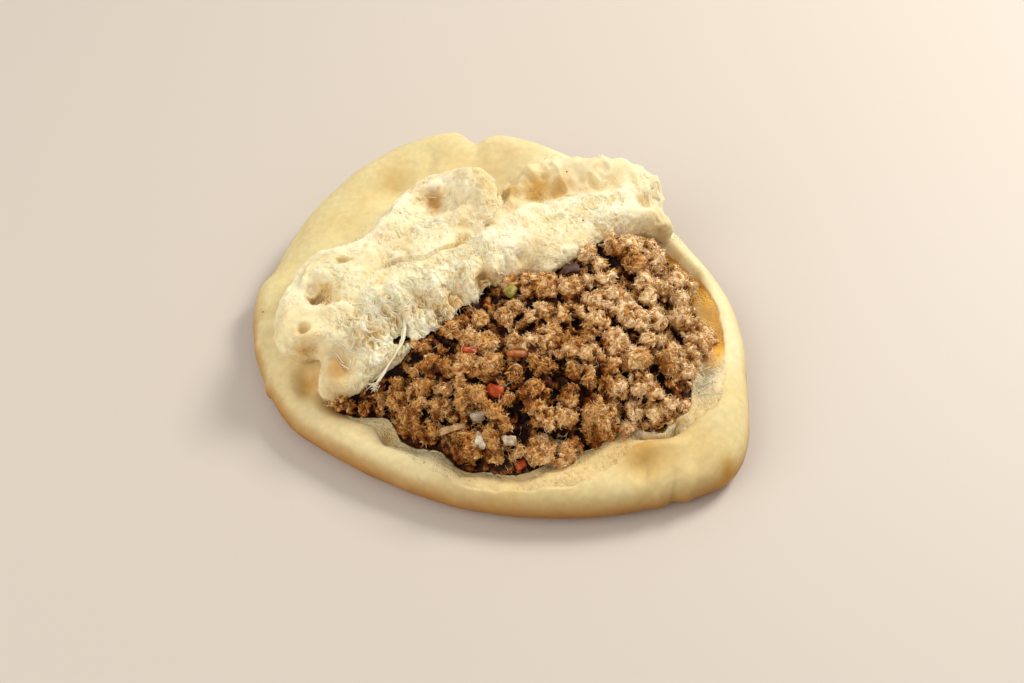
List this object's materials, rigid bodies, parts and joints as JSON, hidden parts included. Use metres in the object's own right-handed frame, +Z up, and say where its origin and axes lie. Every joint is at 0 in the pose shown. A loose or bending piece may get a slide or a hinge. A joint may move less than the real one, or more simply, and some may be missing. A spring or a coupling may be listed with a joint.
{
  "type": "smoked herring pie",
  "caption": "Round pocket of soft pale bread dough, torn open with its lid folded back, filled with minced smoked herring and chopped vegetables.",
  "frame": {"origin": "centre of the pie's bounding box, on the surface that it stands on", "axes": "+X to the right along the widest way, +Y from the torn open front to the closed back, +Z up"},
  "size_m": [0.1728, 0.1602, 0.0416],
  "materials": {
    "bread": "soft pale baked dough, smooth crust outside and porous crumb where torn",
    "herring": "moist crumbly minced fish",
    "red_pepper": "moist cooked pepper",
    "carrot": "moist grated carrot",
    "onion": "glassy cooked onion",
    "green_pepper": "moist cooked green pepper",
    "dark_skin": "dark smoked fish skin",
    "fish_flake": "pale flake of smoked herring"
  },
  "bodies": {
    "root": {"bread": "bread", "filling": "herring", "red_pepper_large": "red_pepper", "red_pepper_front": "red_pepper", "red_pepper_left": "red_pepper", "red_pepper_speck": "red_pepper", "carrot_shred_left": "carrot", "carrot_shred_right": "carrot", "onion_left": "onion", "onion_front": "onion", "onion_cube": "onion", "onion_right": "onion", "green_pepper": "green_pepper", "dark_skin": "dark_skin", "fish_flake": "fish_flake"}
  },
  "joints": []
}
